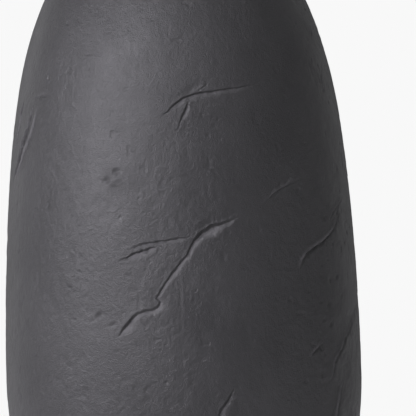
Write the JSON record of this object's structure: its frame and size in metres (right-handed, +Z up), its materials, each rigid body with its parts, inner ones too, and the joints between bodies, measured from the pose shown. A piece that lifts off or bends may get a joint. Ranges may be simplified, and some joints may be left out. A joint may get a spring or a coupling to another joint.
{
  "type": "stoneware vase",
  "caption": "Tall round near-black stoneware vase with a short narrow neck, a torn and cracked satin surface, a glazed inside and felt pads under its foot.",
  "frame": {"origin": "centre of the vase's foot, on the surface that it stands on", "axes": "+Z up along the vase's axis, out of its mouth"},
  "size_m": [0.2, 0.2, 0.4005],
  "materials": {
    "black_stoneware": "satin near-black stoneware, finely pitted, with torn cracks",
    "liner_glaze": "glossy dark liner glaze",
    "pad_felt": "dense dark grey felt"
  },
  "bodies": {
    "root": {"base_slab": "black_stoneware", "foot_ring": "black_stoneware", "floor_coil": "black_stoneware", "wall_course_1": "black_stoneware", "wall_course_2": "black_stoneware", "wall_course_3": "black_stoneware", "wall_course_4": "black_stoneware", "wall_course_5": "black_stoneware", "wall_course_6": "black_stoneware", "wall_course_7": "black_stoneware", "neck_collar": "black_stoneware", "rim_coil": "black_stoneware", "liner_glaze": "liner_glaze", "felt_pad_1": "pad_felt", "felt_pad_2": "pad_felt", "felt_pad_3": "pad_felt", "felt_pad_4": "pad_felt"}
  },
  "joints": []
}
